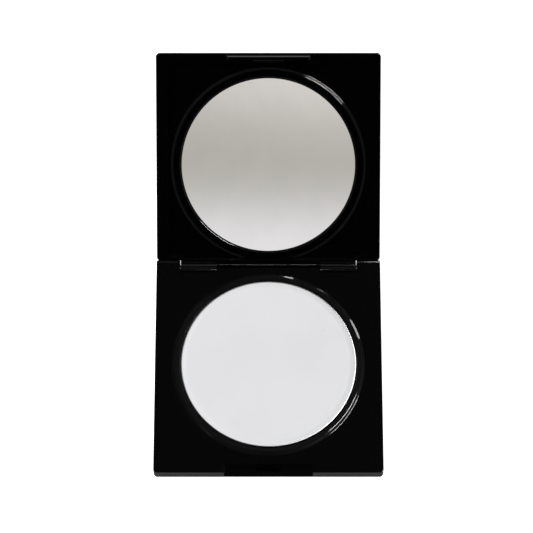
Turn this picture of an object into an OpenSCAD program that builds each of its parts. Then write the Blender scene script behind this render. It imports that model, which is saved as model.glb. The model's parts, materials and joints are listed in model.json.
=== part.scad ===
// Square compact: a shallow base that holds a pressed white cake in a metal
// pan, and a lid with a round mirror, joined by two knuckles on steel pins.
// Millimetres, +Z up. The latch faces -Y and the hinge lies along +Y.
// The origin is the centre of the base's underside.

/* [Case] */
// Side of the square base, which is also the width of the lid
case_w = 76.5; // [75.5:0.5:79]
// Height of the base, from its underside to its deck
base_h = 5.6; // [5.4:0.1:6]
// Height of the lid, from its rim to its outer face
lid_h = 4.8; // [4.6:0.1:5]
// Radius of the upright corners of the base and the lid
corner_r = 1.2; // [0.8:0.1:2]
// Gap between the deck and the closed lid's rim
parting_gap = 0.1; // [0.05:0.05:0.2]

/* [Pan] */
// Outer diameter of the metal pan
pan_d = 59; // [57:0.5:59.5]
// Thickness of the pan's sheet metal
pan_t = 0.3; // [0.2:0.05:0.4]
// Height that the ring around the pan stands above the deck
ring_h = 1.2; // [1:0.1:1.3]
// Width of the bevel around the cake's edge
cake_bevel = 1.2; // [0.5:0.1:2.5]

/* [Mirror] */
// Diameter of the mirror that shows inside its bezel
mirror_show_d = 59.3; // [56:0.1:59.5]
// Thickness of the mirror glass
mirror_t = 1.2; // [1:0.1:1.2]
// Height that the bezel stands proud of the lid's inner panel
bezel_h = 0.6; // [0.5:0.1:0.7]

/* [Lid rim] */
// Width of the lid's rim at its sides
side_rim = 4; // [3:0.1:4.2]
// Width of the lid's rim at its front
front_rim = 3.1; // [3:0.1:3.5]
// Depth of the inner panel behind the lid's rim
panel_depth = 2.2; // [2.1:0.1:2.3]

/* [Hinge] */
// How far the lid is open, in degrees
lid_open = 150; // [0:5:150]
// Diameter of the lid's knuckles
knuckle_d = 3.8; // [3.6:0.1:3.8]
// Length of each knuckle
knuckle_l = 12.2; // [8:0.1:14]
// Diameter of the hinge pins
pin_d = 1.5; // [1.2:0.1:1.8]
// Width of each rear ear of the base
ear_w = 8; // [6.5:0.1:9]

/* [Latch] */
// Width of the tab at the front of the lid
tab_w = 28.8; // [16:0.2:36]
// Thickness of the tab
tab_t = 1.4; // [1.2:0.1:1.4]
// Width of the catch inside the base's notch
catch_w = 8.2; // [5:0.1:12]

/* [Hidden] */
$fn = 64;
fine = 180;
sliver = 0.01;
over = 1;
half = case_w / 2;
slide_gap = 0.1;

// Base
base_low_r = 0.9;
base_high_r = 0.2;
deck_t = 1.2;
floor_t = 1.2;
cover_t = 1.05;
cover_gap = 0.05;
cover_side = half - 1.8;
cover_front = -half + 4.4;
cover_rear = half - 6.7;
cover_corner_r = 1.5;
ledge_w = 0.9;
peg_r = 1.1;
peg_h = 2;
peg_inset = 3;
boss_r = 2.4;
label_r = 20;
label_t = 0.1;

// Pan, cake and the ring around them
pan_r = pan_d / 2;
well_r = pan_r + 0.25;
ring_w = 1.9;
ring_slope = 0.2;
ring_chamfer = 0.3;
ring_crown_r = 0.35;
ring_draft = 0.5;
ring_foot_r = 0.25;
well_wall = 1.15;
well_floor_z = 2.25;
glue_r = 12;
glue_t = 0.15;
pan_z = well_floor_z + glue_t;
ring_inner_z = base_h + ring_h - ring_slope;
pan_top_z = ring_inner_z - 0.1;
pan_fold_r = 0.6;
cake_gap = 0.02;
cake_edge_z = pan_top_z - 0.25;
cake_top_z = pan_top_z + 0.12;
cake_crown_h = 0.05;
cake_crown_w = 0.6;

// Hinge
ear_edge_r = 1.5;
ear_bite = 0.02;
knuckle_r = knuckle_d / 2;
pin_r = pin_d / 2;
hinge_y = half - 2.95;
hinge_z = base_h - 1.7;
trough_half = half - ear_w;
trough_front = hinge_y - knuckle_r - 0.2;
knuckle_out = trough_half - 0.3;
knuckle_in = knuckle_out - knuckle_l;
pin_out = half - 0.2;
pin_in = knuckle_in + 1;
pin_tip = 0.15;
pin_fit = 0.01;
pin_run = 0.05;
open_max = 150;
table_gap = 0.15;
relief_gap = 0.15;

// Lid, given as it lies when it is closed
lid_low_r = 0.35;
lid_high_r = 1.2;
rim_z = base_h + parting_gap;
lid_top_z = rim_z + lid_h;
lid_plate_t = 1.1;
plate_z = lid_top_z - lid_plate_t;
lid_rear = hinge_y - 2.5;
leaf_rear = hinge_y - 0.7;
leaf_half = trough_half - 0.2;
leaf_edge_r = 0.4;
rear_rim = 1.2;
leaf_rim = 2.1;
arm_rear = -1.65;
arm_top = 4;
panel_z = rim_z + panel_depth;
panel_t = 0.8;
panel_back_z = panel_z + panel_t;

// Mirror and its bezel
bezel_z = panel_z - bezel_h;
bezel_in_r = mirror_show_d / 2;
bezel_edge_r = 0.3;
bezel_edge_in = 0.75;
bezel_crown_r = 0.35;
bezel_crown_in = 2.75;
bezel_draft = 0.46;
bezel_foot_r = 0.25;
bezel_foot_in = bezel_crown_in + bezel_crown_r + bezel_draft + bezel_foot_r;
bezel_out_r = bezel_in_r + bezel_foot_in;
skirt_w = 1;
lip_t = 0.35;
glass_r = bezel_in_r + 0.5;
glass_z = bezel_z + lip_t;
coat_t = 0.08;
pad_inset = 2;
pocket_r = glass_r + slide_gap;
frame_peg_r = 0.8;
frame_peg_h = 0.4;
frame_peg_inset = 4;

// Latch
notch_half = tab_w / 2 + 0.4;
notch_d = 3.1;
tab_inset = 0.7;
tab_drop = 3.5;
tab_corner = 1;
tab_chamfer = 0.35;
hook_w = catch_w + 2;
hook_d = 0.35;
hook_h = 0.7;
catch_d = 0.75;
catch_h = 0.75;
catch_gap = 0.1;
nose_h = 0.2;

// Colours
shell_black = [0.03, 0.03, 0.035];
inner_black = [0.05, 0.05, 0.055];
bare_steel = [0.75, 0.75, 0.76];
pan_metal = [0.82, 0.82, 0.8];
cake_white = [0.93, 0.93, 0.92];
glass_tint = [0.8, 0.82, 0.83];
coat_grey = [0.62, 0.62, 0.62];
pad_white = [0.88, 0.87, 0.82];

// Points on an arc about centre c, from angle a0 to angle a1
function arc(c, r, a0, a1, steps = 6) =
    [for (i = [0 : steps]) c + r * [cos(a0 + (a1 - a0) * i / steps), sin(a0 + (a1 - a0) * i / steps)]];

// Point where a line from p touches the rear side of a circle about the origin
function tangent_point(p, r) =
    (r * r * p + r * sqrt(p * p - r * r) * [p[1], -p[0]]) / (p * p);

// Rectangle from [x0, y0] to [x1, y1] with round corners
module round_rect(x0, y0, x1, y1, r) {
    translate([x0 + r, y0]) square([x1 - x0 - 2 * r, y1 - y0]);
    translate([x0, y0 + r]) square([x1 - x0, y1 - y0 - 2 * r]);
    for (x = [x0 + r, x1 - r], y = [y0 + r, y1 - r]) {
        translate([x, y]) circle(r, $fn = 32);
    }
}

// Slab of height h with round corners, and a round edge below and above
module soft_slab(x0, y0, x1, y1, h, corner, low_r, high_r) {
    hull() {
        for (a = [0 : 22.5 : 90]) {
            low_in = low_r * (1 - cos(a));
            translate([0, 0, low_r * (1 - sin(a))]) linear_extrude(sliver)
                round_rect(x0 + low_in, y0 + low_in, x1 - low_in, y1 - low_in, corner - low_in / 2);
            high_in = high_r * (1 - cos(a));
            translate([0, 0, h - sliver - high_r * (1 - sin(a))]) linear_extrude(sliver)
                round_rect(x0 + high_in, y0 + high_in, x1 - high_in, y1 - high_in, corner - high_in / 2);
        }
    }
}

// Outline drawn in Y and Z, swept along X from x0 to x1
module along_x(x0, x1) {
    translate([x0, 0, 0]) rotate([90, 0, 90]) linear_extrude(x1 - x0) children();
}

// A lid piece, turned about the hinge from closed to open
module opened(angle = lid_open) {
    translate([0, hinge_y, hinge_z]) rotate([-angle, 0, 0])
        translate([0, -hinge_y, -hinge_z]) children();
}

// Centres of the four pegs that locate the bottom cover
module at_pegs() {
    for (x = [-1, 1] * (cover_side - peg_inset), y = [cover_front + peg_inset, cover_rear - peg_inset]) {
        translate([x, y, 0]) children();
    }
}

// Centres of the four pegs that locate the mirror frame
module at_frame_pegs() {
    panel_front = -half + front_rim;
    panel_rear = lid_rear - rear_rim;
    for (x = [-1, 1] * (half - side_rim - frame_peg_inset),
         y = [panel_front + frame_peg_inset, panel_rear - frame_peg_inset]) {
        translate([x, y, 0]) children();
    }
}

// Raised ring around the pan, sloped a little towards the pan
module pan_ring() {
    crown = [well_r + ring_w - ring_crown_r, base_h + ring_h - ring_crown_r];
    foot = [well_r + ring_w + ring_draft + ring_foot_r, base_h + ring_foot_r];
    root_z = base_h - deck_t / 2;
    rotate_extrude($fn = fine) polygon(concat(
        [[well_r, root_z], [well_r, ring_inner_z - ring_chamfer], [well_r + ring_chamfer, ring_inner_z]],
        arc(crown, ring_crown_r, 95, 10),
        arc(foot, ring_foot_r, 180, 270),
        [[foot[0], root_z]]));
}

// Catch ridge on the rear wall of the latch notch
module latch_catch() {
    wall = -half + notch_d;
    low = rim_z - tab_drop + hook_h + catch_gap;
    nose = wall - catch_d;
    along_x(-catch_w / 2, catch_w / 2)
        polygon([[wall + sliver, low], [nose, low + nose_h], [nose, low + 2 * nose_h],
            [wall + sliver, low + catch_h]]);
}

// Hollow under the deck, around the well
module base_hollow() {
    difference() {
        translate([0, 0, cover_t]) linear_extrude(base_h - deck_t - cover_t)
            round_rect(-cover_side + ledge_w, cover_front + ledge_w,
                cover_side - ledge_w, cover_rear - ledge_w, cover_corner_r - ledge_w / 2);
        cylinder(h = base_h, r = well_r + well_wall, $fn = fine);
        at_pegs() cylinder(h = base_h, r = boss_r);
    }
}

module base_body() {
    color(shell_black) difference() {
        union() {
            difference() {
                soft_slab(-half, -half, half, half, base_h, corner_r, base_low_r, base_high_r);
                // Round rear edge of the ears
                along_x(-half - over, half + over)
                    translate([half - ear_edge_r - ear_bite, base_h - ear_edge_r - ear_bite]) difference() {
                        square(ear_edge_r + over);
                        circle(ear_edge_r);
                    }
                // Latch notch
                translate([-notch_half, -half - over, floor_t])
                    cube([2 * notch_half, notch_d + over, base_h]);
            }
            pan_ring();
            latch_catch();
        }
        // Well for the pan
        translate([0, 0, well_floor_z]) cylinder(h = base_h, r = well_r, $fn = fine);
        // Trough that the knuckles turn in, its rear edge cut back for the open leaf
        along_x(-trough_half, trough_half) {
            translate([trough_front, floor_t]) square([ear_w, base_h]);
            translate([hinge_y, hinge_z]) rotate(-open_max)
                translate([leaf_rear - hinge_y + relief_gap - ear_w, rim_z - hinge_z - relief_gap])
                    square(ear_w);
        }
        // Seat of the bottom cover, the hollow above it and the sockets for its pegs
        translate([0, 0, -over]) linear_extrude(cover_t + over)
            round_rect(-cover_side, cover_front, cover_side, cover_rear, cover_corner_r);
        base_hollow();
        at_pegs() cylinder(h = cover_t + peg_h + slide_gap, r = peg_r + cover_gap);
        // Bores for the hinge pins, through the ears
        for (side = [-1, 1]) {
            translate([side * (half + trough_half) / 2, hinge_y, hinge_z]) rotate([0, 90, 0])
                cylinder(h = ear_w + 2 * over, r = pin_r + pin_fit, center = true);
        }
    }
}

module bottom_cover() {
    color(inner_black) {
        difference() {
            linear_extrude(cover_t)
                round_rect(-cover_side + cover_gap, cover_front + cover_gap,
                    cover_side - cover_gap, cover_rear - cover_gap, cover_corner_r);
            translate([0, 0, -over]) cylinder(h = label_t + over, r = label_r + slide_gap, $fn = fine);
        }
        at_pegs() cylinder(h = cover_t + peg_h, r = peg_r);
    }
}

module base_label() {
    color(pad_white) cylinder(h = label_t, r = label_r, $fn = fine);
}

module pan_adhesive() {
    color(pad_white) translate([0, 0, well_floor_z]) cylinder(h = glue_t, r = glue_r);
}

module pan() {
    inner_r = pan_r - pan_t;
    fold_in = pan_fold_r - pan_t;
    color(pan_metal) rotate_extrude($fn = fine) polygon(concat(
        [[0, pan_z]],
        arc([pan_r - pan_fold_r, pan_z + pan_fold_r], pan_fold_r, -90, 0),
        [[pan_r, pan_top_z], [inner_r, pan_top_z]],
        arc([inner_r - fold_in, pan_z + pan_fold_r], fold_in, 0, -90),
        [[0, pan_z + pan_t]]));
}

module cake() {
    side_r = pan_r - pan_t - cake_gap;
    crown_r = side_r - cake_bevel;
    fold_in = pan_fold_r - pan_t;
    color(cake_white) rotate_extrude($fn = fine) polygon(concat(
        [[0, pan_z + pan_t]],
        [[side_r - fold_in, pan_z + pan_t], [side_r, pan_z + pan_t + fold_in], [side_r, cake_edge_z]],
        [[crown_r, cake_top_z - cake_crown_h], [crown_r - cake_crown_w, cake_top_z]],
        [[0, cake_top_z]]));
}

// One hinge pin, on the side given by -1 or 1
module hinge_pin(side) {
    color(bare_steel) translate([0, hinge_y, hinge_z]) rotate([0, side * 90, 0])
        rotate_extrude() polygon([[0, pin_in], [pin_r - pin_tip, pin_in], [pin_r, pin_in + pin_tip],
            [pin_r, pin_out - pin_tip], [pin_r - pin_tip, pin_out], [0, pin_out]]);
}

module hinge_pin_left() {
    hinge_pin(-1);
}

module hinge_pin_right() {
    hinge_pin(1);
}

// Rear leaf of the lid, which reaches between the ears
module lid_leaf() {
    along_x(-leaf_half, leaf_half) {
        translate([0, rim_z + leaf_edge_r]) square([leaf_rear, lid_h - leaf_edge_r]);
        translate([0, rim_z]) square([leaf_rear - leaf_edge_r, leaf_edge_r + sliver]);
        translate([leaf_rear - leaf_edge_r, rim_z + leaf_edge_r]) circle(leaf_edge_r, $fn = 32);
    }
}

// Knuckle with the arm that carries it, on the side given by -1 or 1
module knuckle(side) {
    arm_end = [arm_rear, arm_top];
    centre = side * (knuckle_in + knuckle_out) / 2;
    translate([0, hinge_y, hinge_z]) along_x(centre - knuckle_l / 2, centre + knuckle_l / 2) {
        circle(knuckle_r);
        polygon([[0, 0], [-knuckle_r, 0], [-knuckle_r, arm_top], arm_end,
            tangent_point(arm_end, knuckle_r)]);
    }
}

// Hollow of the lid that the mirror frame drops into
module frame_seat(gap) {
    round_rect(-half + side_rim + gap, -half + front_rim + gap,
        half - side_rim - gap, lid_rear - rear_rim - gap, corner_r);
    leaf_seat = leaf_half - rear_rim - gap;
    translate([-leaf_seat, 0]) square([2 * leaf_seat, leaf_rear - leaf_rim - gap]);
}

// Latch tab with its hook, hanging from the front of the lid's rim
module latch_tab() {
    front = -half + tab_inset;
    tip_z = rim_z - tab_drop;
    difference() {
        translate([0, front + tab_t, 0]) rotate([90, 0, 0]) linear_extrude(tab_t) {
            translate([-tab_w / 2, tip_z + tab_corner]) square([tab_w, tab_drop - tab_corner + over]);
            translate([-tab_w / 2 + tab_corner, tip_z]) square([tab_w - 2 * tab_corner, tab_corner + sliver]);
            for (x = [-1, 1] * (tab_w / 2 - tab_corner)) {
                translate([x, tip_z + tab_corner]) circle(tab_corner);
            }
        }
        // Chamfer along the outer edge of the tip
        along_x(-tab_w, tab_w)
            translate([front, tip_z]) rotate(45) square(sqrt(2) * tab_chamfer, center = true);
    }
    back = front + tab_t;
    nose = back + hook_d;
    along_x(-hook_w / 2, hook_w / 2)
        polygon([[back - sliver, tip_z], [nose, tip_z + nose_h], [nose, tip_z + 2 * nose_h],
            [back - sliver, tip_z + hook_h]]);
}

module lid_shell() {
    color(shell_black) opened() difference() {
        union() {
            translate([0, 0, rim_z])
                soft_slab(-half, -half, half, lid_rear, lid_h, corner_r, lid_low_r, lid_high_r);
            lid_leaf();
            knuckle(-1);
            knuckle(1);
            latch_tab();
        }
        translate([0, 0, rim_z - sliver]) linear_extrude(plate_z - rim_z + sliver) frame_seat(0);
        translate([0, 0, rim_z - sliver])
            cylinder(h = panel_back_z - rim_z + slide_gap, r = bezel_out_r + slide_gap, $fn = fine);
        at_frame_pegs() translate([0, 0, plate_z - sliver])
            cylinder(h = frame_peg_h + slide_gap, r = frame_peg_r + cover_gap);
        // Rear bevel, which clears the table when the lid is open
        opened(-open_max) translate([-half - over, 0, table_gap - case_w])
            cube([case_w + 2 * over, 2 * case_w, case_w]);
        // Bores for the hinge pins, closed at their inner ends
        for (side = [-1, 1]) {
            translate([side * (pin_in - slide_gap), hinge_y, hinge_z]) rotate([0, side * 90, 0])
                cylinder(h = knuckle_l, r = pin_r + pin_run);
        }
    }
}

module mirror_frame() {
    inner_edge = [bezel_in_r + bezel_edge_in, bezel_z + bezel_edge_r];
    crown = [bezel_in_r + bezel_crown_in, bezel_z + bezel_crown_r];
    foot = [bezel_out_r, panel_z - bezel_foot_r];
    color(inner_black) opened() difference() {
        union() {
            translate([0, 0, panel_z]) linear_extrude(panel_t) frame_seat(slide_gap);
            // Perimeter skirt that stands on the shell's plate
            translate([0, 0, panel_back_z - sliver]) linear_extrude(plate_z - panel_back_z + sliver) difference() {
                frame_seat(slide_gap);
                frame_seat(slide_gap + skirt_w);
            }
            // Bezel around the mirror
            rotate_extrude($fn = fine) polygon(concat(
                [[bezel_in_r, panel_back_z], [bezel_in_r, glass_z]],
                arc(inner_edge, bezel_edge_r, 215, 270),
                arc(crown, bezel_crown_r, 270, 350),
                arc(foot, bezel_foot_r, 180, 90),
                [[bezel_out_r, panel_back_z]]));
            at_frame_pegs() translate([0, 0, panel_z])
                cylinder(h = plate_z - panel_z + frame_peg_h, r = frame_peg_r);
        }
        // Pocket for the mirror, open at the back
        translate([0, 0, glass_z]) cylinder(h = lid_h, r = pocket_r, $fn = fine);
    }
}

module mirror_glass() {
    color(glass_tint) opened() translate([0, 0, glass_z]) cylinder(h = mirror_t, r = glass_r, $fn = fine);
}

module mirror_coating() {
    color(coat_grey) opened() translate([0, 0, glass_z + mirror_t])
        cylinder(h = coat_t, r = glass_r, $fn = fine);
}

module mirror_adhesive() {
    back_z = glass_z + mirror_t + coat_t;
    color(pad_white) opened() translate([0, 0, back_z])
        cylinder(h = plate_z - back_z, r = glass_r - pad_inset, $fn = fine);
}

base_body();
bottom_cover();
base_label();
pan_adhesive();
pan();
cake();
hinge_pin_left();
hinge_pin_right();
lid_shell();
mirror_frame();
mirror_glass();
mirror_coating();
mirror_adhesive();
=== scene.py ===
"""Looks for a square mirrored compact with a pressed white cake.

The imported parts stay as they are. This script gives them finishes and soft
edges, and builds the studio: a pale floor, soft lights and the camera.
Metres, +Z up, latch towards -Y, hinge along +Y.
"""

import json
import math

import bpy
from mathutils import Matrix, Vector


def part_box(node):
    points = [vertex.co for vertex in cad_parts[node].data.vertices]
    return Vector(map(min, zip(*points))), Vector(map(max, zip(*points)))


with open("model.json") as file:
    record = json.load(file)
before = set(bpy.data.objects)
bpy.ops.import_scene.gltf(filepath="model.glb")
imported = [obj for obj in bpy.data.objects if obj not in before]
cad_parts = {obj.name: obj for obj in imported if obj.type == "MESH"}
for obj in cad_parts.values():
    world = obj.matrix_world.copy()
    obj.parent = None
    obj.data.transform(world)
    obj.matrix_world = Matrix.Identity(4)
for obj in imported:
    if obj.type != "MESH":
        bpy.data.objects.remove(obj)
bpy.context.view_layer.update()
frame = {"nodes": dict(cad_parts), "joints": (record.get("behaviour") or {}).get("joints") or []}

MM = 0.001
NODES = frame["nodes"]

# ---------------------------------------------------------------- places

CAKE_LOW, CAKE_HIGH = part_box("cake")
GLASS_LOW, GLASS_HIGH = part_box("mirror_glass")
HINGE = frame["joints"][0]
OPEN_ANGLE = math.radians(HINGE["range_deg"][1])
MIRROR_NORMAL = Vector((0, math.sin(-OPEN_ANGLE), -math.cos(OPEN_ANGLE)))
MIRROR_UP = Vector((0, -math.cos(OPEN_ANGLE), -math.sin(-OPEN_ANGLE)))
MIRROR_CENTRE = (GLASS_LOW + GLASS_HIGH) / 2
MIRROR_RADIUS = (GLASS_HIGH.x - GLASS_LOW.x) / 2
BASE_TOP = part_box("base_body")[1].z
PAN_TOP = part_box("pan")[1].z

# ---------------------------------------------------------------- camera

CAMERA_ELEVATION = math.radians(68.0)
CAMERA_DISTANCE = 893.2 * MM
CAMERA_SIDE = -0.64 * MM
CAMERA_AIM_Y = 37.66 * MM
CAMERA_LENS = 175.2
CAMERA_SENSOR = 36.0
CAMERA_NEAR = 0.05
CAMERA_FAR = 20


def toward(azimuth, elevation):
    """Unit vector at an azimuth counted from +X towards +Y, and an elevation, both in degrees."""
    a, e = math.radians(azimuth), math.radians(elevation)
    return Vector((math.cos(a) * math.cos(e), math.sin(a) * math.cos(e), math.sin(e)))


def mirrored(direction, normal):
    """The direction in which a mirror with that normal reflects it."""
    return 2 * normal.dot(direction) * normal - direction


VIEW_DIRECTION = Vector((0, -math.cos(CAMERA_ELEVATION), math.sin(CAMERA_ELEVATION)))
CAMERA_PLACE = Vector((CAMERA_SIDE, CAMERA_AIM_Y, 0)) + VIEW_DIRECTION * CAMERA_DISTANCE


def make_camera():
    data = bpy.data.cameras.new("camera")
    data.lens = CAMERA_LENS
    data.sensor_width = CAMERA_SENSOR
    data.clip_start = CAMERA_NEAR
    data.clip_end = CAMERA_FAR
    camera = bpy.data.objects.new("camera", data)
    bpy.context.scene.collection.objects.link(camera)
    camera.location = CAMERA_PLACE
    camera.rotation_mode = "QUATERNION"
    camera.rotation_quaternion = (-VIEW_DIRECTION).to_track_quat("-Z", "Y")
    bpy.context.scene.camera = camera


# ---------------------------------------------------------------- node trees

class Tree:
    """Short calls for building a shader node tree."""

    def __init__(self, owner):
        owner.use_nodes = True
        self.tree = owner.node_tree
        self.tree.nodes.clear()

    def add(self, kind, settings=None, **inputs):
        """A node of that kind. An input is a number, a colour or another node's socket."""
        node = self.tree.nodes.new(kind)
        for name, value in (settings or {}).items():
            setattr(node, name, value)
        for name, value in inputs.items():
            self.put(node, name.replace("_", " "), value)
        return node

    def put(self, node, name, value):
        """Sets an input by its name, or by its place, written i0, i1 and so on."""
        socket = node.inputs[int(name[1:]) if name[0] == "i" and name[1:].isdigit() else name]
        if isinstance(value, bpy.types.NodeSocket):
            self.tree.links.new(value, socket)
        else:
            socket.default_value = value

    def math(self, operation, *values):
        node = self.add("ShaderNodeMath", {"operation": operation})
        for i, value in enumerate(values):
            self.put(node, f"i{i}", value)
        return node.outputs[0]

    def vector(self, operation, *values, output="Vector"):
        node = self.add("ShaderNodeVectorMath", {"operation": operation})
        for i, value in enumerate(values):
            self.put(node, "Scale" if operation == "SCALE" and i else f"i{i}", value)
        return node.outputs[output]

    def dot(self, a, b):
        return self.vector("DOT_PRODUCT", a, b, output="Value")

    def spread(self, value, low, high, out_low=0.0, out_high=1.0, smooth=True):
        """Maps low..high to out_low..out_high, held at both ends."""
        settings = {"interpolation_type": "SMOOTHSTEP" if smooth else "LINEAR"}
        node = self.add("ShaderNodeMapRange", settings, Value=value,
                        From_Min=low, From_Max=high, To_Min=out_low, To_Max=out_high)
        return node.outputs["Result"]

    def noise(self, where, scale, detail=2.0, roughness=0.5):
        node = self.add("ShaderNodeTexNoise", None, Vector=where, Scale=scale,
                        Detail=detail, Roughness=roughness)
        return node.outputs["Fac"]

    def cells(self, where, scale):
        """Distance to the nearest of a scatter of points, and that point's random colour."""
        node = self.add("ShaderNodeTexVoronoi", None, Vector=where, Scale=scale)
        return node.outputs["Distance"], node.outputs["Color"]

    def ramp(self, value, stops, interpolation="LINEAR"):
        """The colour at a value, from stops of (position, colour)."""
        node = self.add("ShaderNodeValToRGB", None, Fac=value)
        elements = node.color_ramp.elements
        node.color_ramp.interpolation = interpolation
        for position, _ in stops[1:-1]:
            elements.new(position)
        for element, (position, colour) in zip(elements, stops):
            element.position = position
            element.color = colour
        return node.outputs["Color"]

    def mix(self, share, a, b):
        node = self.add("ShaderNodeMix", {"data_type": "RGBA"})
        self.put(node, "i0", share)
        self.put(node, "i6", a)
        self.put(node, "i7", b)
        return node.outputs[2]

    def bump(self, height, strength, distance, normal=None):
        node = self.add("ShaderNodeBump", None, Height=height, Strength=strength, Distance=distance)
        if normal is not None:
            self.put(node, "Normal", normal)
        return node.outputs["Normal"]

    def turned(self, normal, centre, axis, low_height, profile):
        """The normal, replaced on a turned ring by the exact one of its profile.

        The profile is a list of (radius in mm, sine of the outward tilt). Only the side that
        stands higher than low_height along the axis is changed.
        """
        from_centre = self.vector("SUBTRACT", self.place(), centre)
        height = self.dot(from_centre, axis)
        across = self.vector("SUBTRACT", from_centre, self.vector("SCALE", axis, height))
        radius = self.vector("LENGTH", across, output="Value")
        start, end = profile[0][0] * MM, profile[-1][0] * MM
        stops = [((stop * MM - start) / (end - start), grey((sine + 1) / 2)) for stop, sine in profile]
        level = self.ramp(self.spread(radius, start, end, smooth=False), stops)
        sine = self.math("SUBTRACT", self.math("MULTIPLY", level, 2.0), 1.0)
        cosine = self.math("SQRT", self.math("SUBTRACT", 1.0, self.math("MULTIPLY", sine, sine)))
        out = self.vector("NORMALIZE", across)
        exact = self.vector("ADD", self.vector("SCALE", out, sine), self.vector("SCALE", axis, cosine))
        to_world = {"vector_type": "NORMAL", "convert_from": "OBJECT", "convert_to": "WORLD"}
        exact = self.add("ShaderNodeVectorTransform", to_world, Vector=exact).outputs[0]
        past_start = self.math("GREATER_THAN", radius, start)
        before_end = self.math("LESS_THAN", radius, end)
        raised = self.math("GREATER_THAN", height, low_height)
        here = self.math("MULTIPLY", self.math("MULTIPLY", past_start, before_end), raised)
        return self.mix(here, normal, exact)

    def place(self):
        """Position on the piece, in metres, which stays with the piece as it moves."""
        return self.add("ShaderNodeTexCoord").outputs["Object"]

    def off_axis(self, where):
        """Distance from the Z axis, and the height along it."""
        x, y, z = self.add("ShaderNodeSeparateXYZ", None, Vector=where).outputs
        square = self.math("ADD", self.math("MULTIPLY", x, x), self.math("MULTIPLY", y, y))
        return self.math("SQRT", square), z


def finish(name, build, viewport):
    """A material whose shader is the node that build(tree) returns."""
    material = bpy.data.materials.new(name)
    material.diffuse_color = (*viewport, 1)
    tree = Tree(material)
    shader = build(tree)
    output = tree.add("ShaderNodeOutputMaterial")
    tree.tree.links.new(shader.outputs[0], output.inputs["Surface"])
    return material


def grey(value):
    return (value, value, value, 1)


# ---------------------------------------------------------------- finishes

EDGE_SOFTNESS = 0.06 * MM

# Turned profiles: radius in mm, and the sine of the surface's outward tilt. Both follow the
# part's own arcs: a slope or flat top, a round crown, a wall or step, and a hollow foot.
RING_PROFILE = [(30.1, -0.16), (31.25, -0.16), (31.3, 0.0), (31.58, 0.79), (32.2, 0.79), (32.4, 0.0)]
MIRROR_HIDDEN_EDGE = 0.5
BEZEL_INNER = MIRROR_RADIUS / MM - MIRROR_HIDDEN_EDGE
BEZEL_STEPS = [(0.504, -0.82), (0.75, 0.0), (2.75, 0.0), (3.094, 0.983), (3.1, 0.13), (3.555, 0.13),
               (3.562, 0.99), (3.81, 0.0)]
BEZEL_PROFILE = [(BEZEL_INNER + step, sine) for step, sine in BEZEL_STEPS]

# The heights where they begin: over the deck, and over the middle of the mirror's glass
PAN_TOP_OVER_DECK = 0.9 * MM
RING_LOW = -0.01 * MM
BEZEL_LOW = 0.35 * MM


def gloss_black(tree, normal=None):
    """Polished black plastic: faint moulding ripple, wiping marks, and a little dust."""
    where = tree.place()
    ripple = tree.noise(where, 140, detail=1)
    wipe = tree.noise(where, 900, detail=4, roughness=0.7)
    dust, _ = tree.cells(where, 620)
    speck = tree.spread(dust, 0.035, 0.06, 1, 0)
    patch = tree.spread(tree.noise(where, 60), 0.52, 0.68)
    speck = tree.math("MULTIPLY", speck, patch)
    colour = tree.mix(tree.math("MULTIPLY", speck, 0.02), (0.0004, 0.0004, 0.00045, 1), grey(0.5))
    rough = tree.spread(wipe, 0.3, 0.7, 0.045, 0.065, smooth=False)
    normal = tree.bump(ripple, 0.012, 0.0004, normal or soft_edge(tree))
    return tree.add("ShaderNodeBsdfPrincipled", None, Base_Color=colour, Roughness=rough,
                    IOR=1.46, Normal=normal)


def soft_edge(tree):
    """The surface's normal, rounded a little at its sharp edges."""
    return tree.add("ShaderNodeBevel", {"samples": 4}, Radius=EDGE_SOFTNESS).outputs["Normal"]


def base_black(tree):
    """The same plastic on the base, with the exact rounding of its turned ring."""
    centre = (CAKE_LOW + CAKE_HIGH) / 2
    centre.z = PAN_TOP - PAN_TOP_OVER_DECK
    return gloss_black(tree, tree.turned(soft_edge(tree), centre, (0, 0, 1), RING_LOW, RING_PROFILE))


def inner_black(tree):
    """The same plastic on the mirror's frame, with the exact rounding of its turned bezel."""
    normal = tree.add("ShaderNodeNewGeometry").outputs["Normal"]
    return gloss_black(tree, tree.turned(normal, MIRROR_CENTRE, MIRROR_NORMAL, BEZEL_LOW, BEZEL_PROFILE))


def satin_black(tree):
    """Spark-eroded black plastic of the bottom cover: fine even grain."""
    where = tree.place()
    grain = tree.noise(where, 5200, detail=3, roughness=0.65)
    cloud = tree.noise(where, 240)
    rough = tree.spread(cloud, 0.3, 0.7, 0.36, 0.46)
    normal = tree.bump(grain, 0.35, 0.00006)
    return tree.add("ShaderNodeBsdfPrincipled", None, Base_Color=(0.006, 0.006, 0.0065, 1),
                    Roughness=rough, IOR=1.5, Normal=normal)


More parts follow.
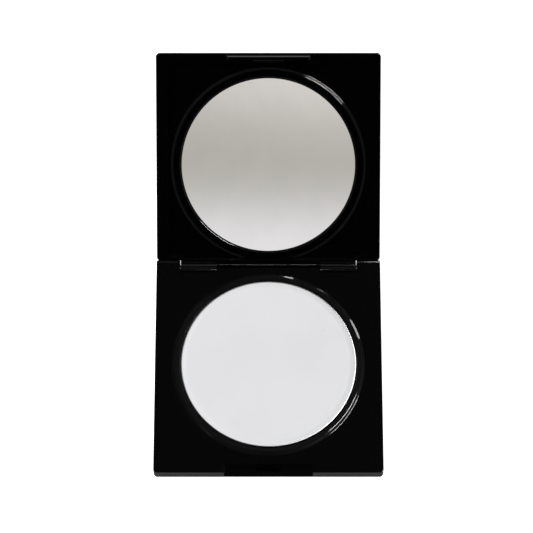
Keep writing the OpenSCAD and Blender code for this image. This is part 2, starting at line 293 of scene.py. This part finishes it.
def pressed_powder(tree):
    """Pressed white powder: fine grain, soft cloudiness and a few faint specks."""
    where = tree.place()
    grain = tree.noise(where, 7000, detail=3, roughness=0.7)
    press = tree.noise(where, 420, detail=3)
    cloud = tree.noise(where, 45, detail=2)
    points, tint = tree.cells(where, 160)
    rare = tree.spread(tint, 0.74, 0.78)
    speck = tree.math("MULTIPLY", tree.spread(points, 0.05, 0.16, 1, 0), rare)
    base = tree.mix(tree.spread(cloud, 0.35, 0.65), (0.735, 0.735, 0.752, 1), (0.765, 0.765, 0.778, 1))
    fine = tree.mix(tree.spread(grain, 0.3, 0.7), (0.72, 0.72, 0.735, 1), (0.79, 0.79, 0.8, 1))
    colour = tree.mix(0.35, base, fine)
    colour = tree.mix(tree.math("MULTIPLY", speck, 0.13), colour, (0.5, 0.49, 0.48, 1))
    height = tree.math("ADD", tree.math("MULTIPLY", grain, 0.5), press)
    normal = tree.bump(height, 0.22, 0.00006)
    return tree.add("ShaderNodeBsdfPrincipled", None, Base_Color=colour, Roughness=0.93,
                    Specular_IOR_Level=0.25, Sheen_Weight=0.04, Sheen_Roughness=0.6, Normal=normal)


def pan_aluminium(tree):
    """Drawn aluminium pan: turning marks run round it."""
    where = tree.place()
    radius, z = tree.off_axis(where)
    rings = tree.add("ShaderNodeCombineXYZ", None, X=radius, Y=z, Z=0.0).outputs[0]
    marks = tree.noise(rings, 9000, detail=2)
    rough = tree.spread(marks, 0.3, 0.7, 0.12, 0.2, smooth=False)
    normal = tree.bump(marks, 0.12, 0.00002)
    tangent = tree.add("ShaderNodeTangent", {"direction_type": "RADIAL", "axis": "Z"}).outputs[0]
    return tree.add("ShaderNodeBsdfPrincipled", None, Base_Color=(0.86, 0.865, 0.87, 1), Metallic=1.0,
                    Roughness=rough, Anisotropic=0.5, Tangent=tangent, Normal=normal)


def pin_steel(tree):
    """Ground steel pin: fine scratches round its length."""
    where = tree.place()
    stretch = tree.add("ShaderNodeMapping", None, Vector=where, Scale=(1, 0.04, 0.04)).outputs[0]
    scratch = tree.noise(stretch, 6000, detail=2)
    rough = tree.spread(scratch, 0.3, 0.7, 0.18, 0.32, smooth=False)
    normal = tree.bump(scratch, 0.1, 0.00002)
    return tree.add("ShaderNodeBsdfPrincipled", None, Base_Color=(0.62, 0.61, 0.6, 1), Metallic=1.0,
                    Roughness=rough, Normal=normal)


def silvered_glass(tree):
    """Mirror: near perfect, with the faint haze of a wiped surface."""
    where = tree.place()
    haze = tree.noise(where, 110, detail=4, roughness=0.6)
    rough = tree.spread(haze, 0.35, 0.75, 0.0, 0.02)
    tint = tree.mix(tree.spread(haze, 0.3, 0.7), (0.9, 0.905, 0.9, 1), (0.93, 0.93, 0.925, 1))
    return tree.add("ShaderNodeBsdfPrincipled", None, Base_Color=tint, Metallic=1.0, Roughness=rough,
                    Coat_Weight=0.2, Coat_Roughness=0.01)


def mirror_back(tree):
    """Painted back of the silvering."""
    where = tree.place()
    grain = tree.noise(where, 2600, detail=3)
    colour = tree.mix(tree.spread(grain, 0.3, 0.7), (0.34, 0.34, 0.35, 1), (0.42, 0.42, 0.42, 1))
    return tree.add("ShaderNodeBsdfPrincipled", None, Base_Color=colour, Metallic=0.7, Roughness=0.4,
                    Normal=tree.bump(grain, 0.2, 0.00003))


LABEL_LINE_SHARE = 0.9


def label_paper(tree):
    """Coated white paper with fibres and a plain grey border line."""
    where = tree.place()
    radius, _ = tree.off_axis(where)
    low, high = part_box("base_label")
    line_radius = LABEL_LINE_SHARE * (high.x - low.x) / 2
    off_line = tree.math("ABSOLUTE", tree.math("SUBTRACT", radius, line_radius))
    line = tree.spread(off_line, 0.15 * MM, 0.22 * MM, 1, 0)
    fibre = tree.noise(tree.add("ShaderNodeMapping", None, Vector=where, Scale=(1, 0.2, 1)).outputs[0],
                       3600, detail=3)
    paper = tree.mix(tree.spread(fibre, 0.3, 0.7), (0.74, 0.735, 0.72, 1), (0.82, 0.818, 0.805, 1))
    colour = tree.mix(tree.math("MULTIPLY", line, 0.8), paper, grey(0.12))
    return tree.add("ShaderNodeBsdfPrincipled", None, Base_Color=colour, Roughness=0.55,
                    Normal=tree.bump(fibre, 0.15, 0.00003))


def foam_tape(tree):
    """Off-white double-sided tape."""
    where = tree.place()
    pores, _ = tree.cells(where, 2200)
    colour = tree.mix(tree.spread(pores, 0.1, 0.6), (0.66, 0.64, 0.58, 1), (0.8, 0.78, 0.72, 1))
    return tree.add("ShaderNodeBsdfPrincipled", None, Base_Color=colour, Roughness=0.85,
                    Normal=tree.bump(pores, 0.3, 0.00005))


FLOOR_ALBEDO_SEEN = 0.88
FLOOR_ALBEDO_REFLECTED = 0.23
FLOOR_GLOW = 1.0


def pale_floor(tree):
    """Backlit white floor, clear from below. All but the camera see it dimmer."""
    is_camera = tree.add("ShaderNodeLightPath").outputs["Is Camera Ray"]
    albedo = tree.mix(is_camera, grey(FLOOR_ALBEDO_REFLECTED), grey(FLOOR_ALBEDO_SEEN))
    top = tree.add("ShaderNodeBsdfPrincipled", None, Base_Color=albedo, Roughness=0.9,
                   Specular_IOR_Level=0.1, Emission_Color=grey(1),
                   Emission_Strength=tree.math("MULTIPLY", is_camera, FLOOR_GLOW))
    below = tree.add("ShaderNodeBsdfTransparent")
    is_below = tree.add("ShaderNodeNewGeometry").outputs["Backfacing"]
    return tree.add("ShaderNodeMixShader", None, Fac=is_below, i1=top.outputs[0], i2=below.outputs[0])


FINISHES = {
    "base_body": (base_black, (0.02, 0.02, 0.022)),
    "bottom_cover": (satin_black, (0.03, 0.03, 0.033)),
    "base_label": (label_paper, (0.8, 0.8, 0.78)),
    "pan_adhesive": (foam_tape, (0.8, 0.78, 0.7)),
    "pan": (pan_aluminium, (0.8, 0.8, 0.8)),
    "cake": (pressed_powder, (0.9, 0.9, 0.9)),
    "hinge_pin_left": (pin_steel, (0.6, 0.6, 0.6)),
    "hinge_pin_right": (pin_steel, (0.6, 0.6, 0.6)),
    "lid_shell": (gloss_black, (0.02, 0.02, 0.022)),
    "mirror_frame": (inner_black, (0.02, 0.02, 0.022)),
    "mirror_glass": (silvered_glass, (0.8, 0.8, 0.8)),
    "mirror_coating": (mirror_back, (0.5, 0.5, 0.5)),
    "mirror_adhesive": (foam_tape, (0.8, 0.78, 0.7)),
}


def dress_nodes():
    made = {}
    for node, (build, viewport) in FINISHES.items():
        if build not in made:
            made[build] = finish(build.__name__, build, viewport)
        piece = NODES[node]
        piece.data.materials.clear()
        piece.data.materials.append(made[build])


JOIN_REACH = 0.0004 * MM
FLAT_ANGLE = math.radians(0.6)
SHARP_ANGLE = math.radians(33)
ROUNDED = {"pan": 0.06, "bottom_cover": 0.1}    # mm
ROUND_SEGMENTS = 3
AREA_WEIGHT = 80


def shading_group():
    """Geometry nodes that join the imported meshes' split corners and shade across all but sharp edges.
    """
    group = bpy.data.node_groups.new("joined_corners", "GeometryNodeTree")
    for way in ("INPUT", "OUTPUT"):
        group.interface.new_socket("Geometry", in_out=way, socket_type="NodeSocketGeometry")
    nodes, links = group.nodes, group.links
    start, end = nodes.new("NodeGroupInput"), nodes.new("NodeGroupOutput")
    forget = nodes.new("GeometryNodeRemoveAttribute")
    forget.inputs["Name"].default_value = "custom_normal"
    join = nodes.new("GeometryNodeMergeByDistance")
    join.inputs["Distance"].default_value = JOIN_REACH
    smooth = nodes.new("GeometryNodeSetShadeSmooth")
    angle = nodes.new("GeometryNodeInputMeshEdgeAngle")
    is_sharp = nodes.new("FunctionNodeCompare")
    is_sharp.operation = "GREATER_THAN"
    is_sharp.inputs[1].default_value = SHARP_ANGLE
    links.new(angle.outputs["Unsigned Angle"], is_sharp.inputs[0])
    sharp = nodes.new("GeometryNodeSetShadeSmooth")
    sharp.domain = "EDGE"
    sharp.inputs["Shade Smooth"].default_value = False
    links.new(is_sharp.outputs[0], sharp.inputs["Selection"])
    chain = (start, forget, join, smooth, sharp, end)
    for a, b in zip(chain, chain[1:]):
        links.new(a.outputs[0], b.inputs[0])
    return group


def soften_edges():
    """Even shading on every node, and small rounds on the pan's rim and the cover's edges."""
    group = shading_group()
    for node, piece in NODES.items():
        piece.modifiers.new("join", "NODES").node_group = group
        if node in ROUNDED:
            flat = piece.modifiers.new("flat", "DECIMATE")
            flat.decimate_type = "DISSOLVE"
            flat.angle_limit = FLAT_ANGLE
            bevel = piece.modifiers.new("round", "BEVEL")
            bevel.limit_method = "ANGLE"
            bevel.angle_limit = SHARP_ANGLE
            bevel.width = ROUNDED[node] * MM
            bevel.segments = ROUND_SEGMENTS
            bevel.use_clamp_overlap = False
            bevel.miter_outer = "MITER_ARC"
        even = piece.modifiers.new("even", "WEIGHTED_NORMAL")
        even.keep_sharp = True
        even.weight = AREA_WEIGHT


# ---------------------------------------------------------------- studio

def link_to(light, receivers):
    """The light falls only on these nodes."""
    group = bpy.data.collections.new(light.name + "_on")
    for node in receivers:
        group.objects.link(NODES[node])
    light.light_linking.receiver_collection = group


def area_light(name, place, aim, width, height, radiance, glossy=True, diffuse=True, receivers=None):
    """A rectangular light, in metres, that faces the aim."""
    data = bpy.data.lights.new(name, "AREA")
    data.shape = "RECTANGLE"
    data.size, data.size_y = width, height
    data.energy = radiance * math.pi * width * height
    light = bpy.data.objects.new(name, data)
    bpy.context.scene.collection.objects.link(light)
    light.location = place
    light.rotation_mode = "QUATERNION"
    light.rotation_quaternion = (aim - place).to_track_quat("-Z", "Y")
    light.visible_camera = False
    light.visible_glossy = glossy
    light.visible_diffuse = diffuse
    if receivers:
        link_to(light, receivers)
    return light


# The card's glow, from the mirror's hinge edge to its latch edge, and how much it tilts sideways
CARD_STOPS = [(0.05, (0.82, 0.8, 0.81)), (0.15, (0.765, 0.75, 0.755)), (0.275, (0.63, 0.612, 0.6)),
              (0.4, (0.517, 0.502, 0.468)), (0.5, (0.485, 0.468, 0.43)), (0.6, (0.49, 0.474, 0.435)),
              (0.725, (0.54, 0.52, 0.485)), (0.85, (0.628, 0.602, 0.572)), (0.95, (0.68, 0.65, 0.62))]
CARD_TILT = 0.07
CARD_LEVEL = 1.0
CARD_REACH = 0.7
CARD_SIZE = 1.6


def mirror_card():
    """A graded bright card that only the mirror sees."""
    to_camera = (CAMERA_PLACE - MIRROR_CENTRE).normalized()
    away = mirrored(to_camera, MIRROR_NORMAL)
    scale = 1 + CARD_REACH / CAMERA_DISTANCE
    light = area_light("mirror_card", MIRROR_CENTRE + away * CARD_REACH, MIRROR_CENTRE,
                       CARD_SIZE, CARD_SIZE, 1.0, diffuse=False, receivers=["mirror_glass"])
    light.rotation_quaternion = (-MIRROR_NORMAL).to_track_quat("-Z", "Y")
    data = light.data
    tree = Tree(data)
    spot = tree.add("ShaderNodeNewGeometry").outputs["Parametric"]
    u, v, _ = tree.add("ShaderNodeSeparateXYZ", None, Vector=spot).outputs
    span = CARD_SIZE / (scale * MIRROR_RADIUS)
    across = tree.math("MULTIPLY", tree.math("SUBTRACT", u, 0.5), span)
    along = tree.math("MULTIPLY", tree.math("SUBTRACT", v, 0.5), span)
    stops = [(position, (*colour, 1)) for position, colour in CARD_STOPS]
    level = tree.ramp(tree.spread(along, -1, 1, smooth=False), stops, "B_SPLINE")
    tilt = tree.math("MULTIPLY", across, tree.spread(along, -0.2, 0.7, 0, CARD_TILT))
    glow = tree.add("ShaderNodeEmission", None, Color=level,
                    Strength=tree.math("ADD", tilt, CARD_LEVEL))
    output = tree.add("ShaderNodeOutputLight")
    tree.tree.links.new(glow.outputs[0], output.inputs["Surface"])


# Brightness of the studio by the sine of its elevation
WORLD_STOPS = [(0.0, 0.8), (0.12, 0.6), (0.34, 0.24), (1.0, 0.14)]
BRIGHT_SIDE = toward(60, 0)
DIM_SIDE_SHARE = 0.14

# Dark flags where the camera finds the deck's and the lid panel's reflections
DECK_FLAG_SHARE = 0.7
PANEL_FLAG_SHARE = 1.0
FLAG_EDGE = math.cos(math.radians(14))
FLAG_CORE = math.cos(math.radians(6))


def make_world():
    """Dim studio that the gloss reflects, with two dark flags, and a white backdrop behind it all."""
    world = bpy.data.worlds.new("studio")
    bpy.context.scene.world = world
    tree = Tree(world)
    direction = tree.add("ShaderNodeTexCoord").outputs["Generated"]
    up = tree.dot(direction, (0, 0, 1))
    level = tree.ramp(up, [(position, grey(value)) for position, value in WORLD_STOPS])
    side = tree.spread(tree.dot(direction, BRIGHT_SIDE), -0.9, 0.9, DIM_SIDE_SHARE, 1)
    side = tree.mix(tree.spread(up, 0.3, 0.8), side, grey(1))
    level = tree.math("MULTIPLY", level, side)
    for normal, share in ((Vector((0, 0, 1)), DECK_FLAG_SHARE), (MIRROR_NORMAL, PANEL_FLAG_SHARE)):
        flag = mirrored(VIEW_DIRECTION, normal)
        near = tree.spread(tree.dot(direction, flag), FLAG_EDGE, FLAG_CORE, 1, 1 - share)
        level = tree.math("MULTIPLY", level, near)
    is_camera = tree.add("ShaderNodeLightPath").outputs["Is Camera Ray"]
    colour = tree.mix(is_camera, level, grey(1))
    background = tree.add("ShaderNodeBackground", None, Color=colour, Strength=1.0)
    output = tree.add("ShaderNodeOutputWorld")
    tree.tree.links.new(background.outputs[0], output.inputs["Surface"])


def ring_spot(radius, azimuth, tilt):
    """A point over the base's ring or pan at an azimuth, and the normal that tilts outward there."""
    out = toward(azimuth, 0)
    point = out * radius
    point.z = BASE_TOP
    lean = math.radians(tilt)
    return point, math.cos(lean) * Vector((0, 0, 1)) + math.sin(lean) * out


def bezel_spot(azimuth, tilt):
    """The same for the mirror's bezel, with the azimuth counted in the mirror's plane."""
    turn, lean = math.radians(azimuth), math.radians(tilt)
    out = Vector((math.cos(turn), 0, 0)) + math.sin(turn) * MIRROR_UP
    point = MIRROR_CENTRE + out * (MIRROR_RADIUS + BEZEL_OVER_MIRROR)
    return point, math.cos(lean) * MIRROR_NORMAL + math.sin(lean) * out


def crosswise_spot(point, tilt):
    """A point on an edge that runs along X, and the normal tilted from +Z towards +Y."""
    lean = math.radians(tilt)
    return point, Vector((0, math.sin(lean), math.cos(lean)))


GLINT_REACH = 0.7
RING_OVER_PAN = 2.2 * MM
BEZEL_OVER_MIRROR = 2 * MM
TAB_EDGE_INSET = 2 * MM
LEAF_FROM_HINGE = Vector((0, 1.5, -1.1)) * MM


def card_place(spot):
    """Where a card stands for the camera to find its reflection at the spot."""
    point, normal = spot
    to_camera = (CAMERA_PLACE - point).normalized()
    return point + mirrored(to_camera, normal) * GLINT_REACH


def glint(name, spot, width, height, radiance, receivers):
    """A card that only these pieces' gloss sees, reflected at one spot."""
    area_light(name, card_place(spot), spot[0], width, height, radiance, diffuse=False,
               receivers=receivers)


def arc_glint(name, start, end, height, radiance, receivers):
    """A card whose reflection runs along an edge from one spot to the other."""
    first, last = card_place(start), card_place(end)
    aim = (start[0] + end[0]) / 2
    place = (first + last) / 2
    along = last - first
    light = area_light(name, place, aim, along.length, height, radiance, diffuse=False,
                       receivers=receivers)
    back = (place - aim).normalized()
    along = (along - along.dot(back) * back).normalized()
    light.rotation_quaternion = Matrix((along, back.cross(along), back)).transposed().to_quaternion()


SOFT_LIGHT_REACH = 2.0

# Highlights on turned edges: name, node, where, first and last azimuth, tilt, card height, radiance
TURNED_GLINTS = [
    ("ring_right_rear", "base_body", "ring", 17, 28, 28, 0.12, 30),
    ("ring_right_front", "base_body", "ring", -22, -50, 30, 0.24, 62),
    ("ring_rear", "base_body", "ring", 75, 80, 17, 0.1, 40),
    ("pan_right", "pan", "pan", 12, -50, 0, 0.08, 6),
    ("pan_left", "pan", "pan", 118, 160, 0, 0.05, 0.4),
    ("bezel_right", "mirror_frame", "bezel", 40, 53, 34, 0.15, 95),
    ("bezel_top", "mirror_frame", "bezel", 53, 67, 34, 0.15, 95),
]


def make_lights():
    """Two soft lights for the cake, and cards for the gloss."""
    aim = Vector((0, CAMERA_AIM_Y, 0))
    area_light("key", aim + toward(180, 80) * SOFT_LIGHT_REACH, aim, 2.0, 2.0, 2.33, glossy=False)
    area_light("fill_left", aim + toward(205, 45) * SOFT_LIGHT_REACH, aim, 1.2, 1.0, 4.9, glossy=False)

    pan_radius = (CAKE_HIGH.x - CAKE_LOW.x) / 2
    spots = {"ring": lambda turn, tilt: ring_spot(pan_radius + RING_OVER_PAN, turn, tilt),
             "pan": lambda turn, tilt: ring_spot(pan_radius, turn, tilt),
             "bezel": bezel_spot}
    for name, node, where, first, last, tilt, height, radiance in TURNED_GLINTS:
        spot = spots[where]
        arc_glint(name, spot(first, tilt), spot(last, tilt), height, radiance, [node])

    lid_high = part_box("lid_shell")[1]
    tab = Vector((0, lid_high.y - TAB_EDGE_INSET, lid_high.z))
    glint("latch_tab", crosswise_spot(tab, 15), 0.3, 0.05, 1.6, ["lid_shell"])
    leaf = Vector(HINGE["pos_m"]) + LEAF_FROM_HINGE
    glint("lid_leaf", crosswise_spot(leaf, -34), 0.06, 0.05, 28, ["lid_shell"])
    mirror_card()


FLOOR_DROP = 0.02 * MM
FLOOR_REACH = 6
OPENING_INSET = 1 * MM


def make_floor():
    """A square floor, open under the base so that its underside can be lit and seen."""
    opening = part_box("base_body")[1].x - OPENING_INSET
    corners = [(x * reach, y * reach, -FLOOR_DROP) for reach in (FLOOR_REACH, opening)
               for x, y in ((-1, -1), (1, -1), (1, 1), (-1, 1))]
    faces = [(i, (i + 1) % 4, 4 + (i + 1) % 4, 4 + i) for i in range(4)]
    mesh = bpy.data.meshes.new("floor")
    mesh.from_pydata(corners, [], faces)
    floor = bpy.data.objects.new("floor", mesh)
    bpy.context.scene.collection.objects.link(floor)
    floor.data.materials.append(finish("pale_floor", pale_floor, (0.95, 0.95, 0.95)))


def set_colour():
    view = bpy.context.scene.view_settings
    view.view_transform = "Standard"
    view.look = "None"
    view.exposure = 0
    view.gamma = 1


# ---------------------------------------------------------------- build

make_camera()
dress_nodes()
soften_edges()
make_floor()
make_world()
make_lights()
set_colour()
